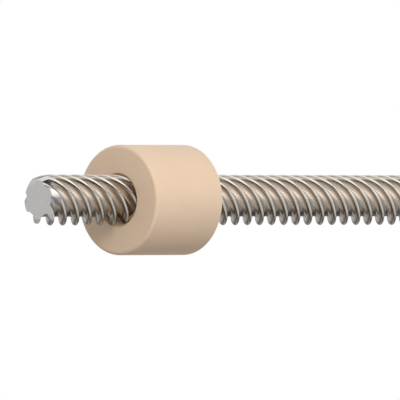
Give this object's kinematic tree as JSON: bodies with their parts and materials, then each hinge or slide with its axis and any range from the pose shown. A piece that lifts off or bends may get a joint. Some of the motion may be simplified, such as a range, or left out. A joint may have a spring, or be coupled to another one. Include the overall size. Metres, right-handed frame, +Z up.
{
  "type": "lead screw nut",
  "caption": "Plain round plastic nut with a deep high-helix thread, running on the bright steel lead screw that carries it.",
  "frame": {"origin": "centre of the nut, on the axis of the screw", "axes": "+X along the screw, from its short free end through the nut to its long end; +Z up"},
  "size_m": [0.15, 0.026, 0.026],
  "materials": {
    "steel": "bright rolled",
    "plastic": "satin"
  },
  "bodies": {
    "screw": {"lead_screw": "steel"},
    "nut": {"nut": "plastic"}
  },
  "joints": [
    {"name": "nut_travel", "type": "slide", "parent": "screw", "child": "nut", "axis": [1, 0, 0], "range_m": [-0.025, 0.1]}
  ]
}
